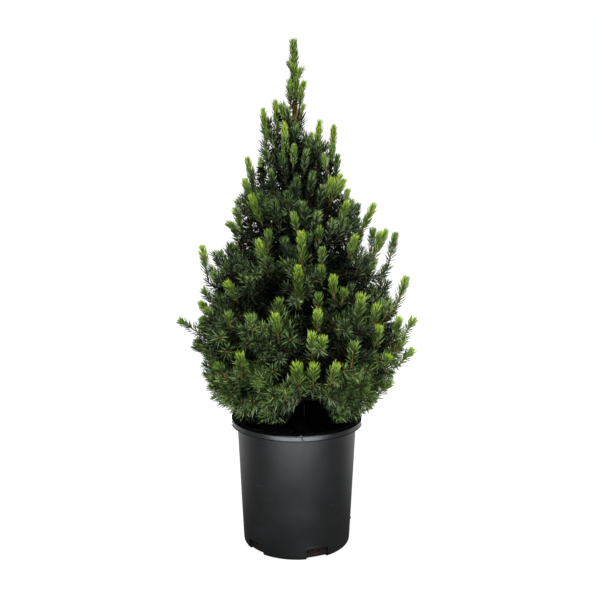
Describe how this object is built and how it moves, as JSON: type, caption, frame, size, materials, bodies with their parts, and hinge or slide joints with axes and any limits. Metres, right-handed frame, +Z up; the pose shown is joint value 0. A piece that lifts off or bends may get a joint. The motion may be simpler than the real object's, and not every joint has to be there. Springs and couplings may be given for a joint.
{
  "type": "potted dwarf alberta spruce",
  "caption": "Dwarf Alberta spruce in a round black nursery pot: a tapering trunk, rising boughs and masses of twigs with needle sprays make a loose, pointed cone.",
  "frame": {"origin": "centre of the pot's flat underside, on the surface it stands on", "axes": "+Z up along the trunk, -Y towards the side that the picture shows, +X to the right of it"},
  "size_m": [0.2897, 0.2808, 0.6269],
  "materials": {
    "pot_plastic": "satin black moulded plastic",
    "potting_mix": "crumbly, damp bark and peat",
    "bark": "rough grey-brown bark",
    "foliage": "satin green needles, brighter at the tips of the shoots"
  },
  "bodies": {
    "root": {"pot": "pot_plastic", "potting_mix": "potting_mix", "trunk": "bark", "bough_skirt_1": "bark", "bough_skirt_2": "bark", "bough_skirt_3": "bark", "bough_skirt_4": "bark", "bough_skirt_5": "bark", "bough_skirt_6": "bark", "bough_skirt_7": "bark", "bough_skirt_8": "bark", "bough_lower_1": "bark", "bough_lower_2": "bark", "bough_lower_3": "bark", "bough_lower_4": "bark", "bough_lower_5": "bark", "bough_lower_6": "bark", "bough_lower_7": "bark", "bough_middle_1": "bark", "bough_middle_2": "bark", "bough_middle_3": "bark", "bough_middle_4": "bark", "bough_middle_5": "bark", "bough_middle_6": "bark", "bough_upper_1": "bark", "bough_upper_2": "bark", "bough_upper_3": "bark", "bough_upper_4": "bark", "bough_crown_1": "bark", "bough_crown_2": "bark", "bough_crown_3": "bark", "foliage_skirt_1": "foliage", "foliage_skirt_2": "foliage", "foliage_skirt_3": "foliage", "foliage_skirt_4": "foliage", "foliage_skirt_5": "foliage", "foliage_skirt_6": "foliage", "foliage_skirt_7": "foliage", "foliage_skirt_8": "foliage", "foliage_lower_1": "foliage", "foliage_lower_2": "foliage", "foliage_lower_3": "foliage", "foliage_lower_4": "foliage", "foliage_lower_5": "foliage", "foliage_lower_6": "foliage", "foliage_lower_7": "foliage", "foliage_middle_1": "foliage", "foliage_middle_2": "foliage", "foliage_middle_3": "foliage", "foliage_middle_4": "foliage", "foliage_middle_5": "foliage", "foliage_middle_6": "foliage", "foliage_upper_1": "foliage", "foliage_upper_2": "foliage", "foliage_upper_3": "foliage", "foliage_upper_4": "foliage", "foliage_crown_1": "foliage", "foliage_crown_2": "foliage", "foliage_crown_3": "foliage", "foliage_leader": "foliage"}
  },
  "joints": []
}
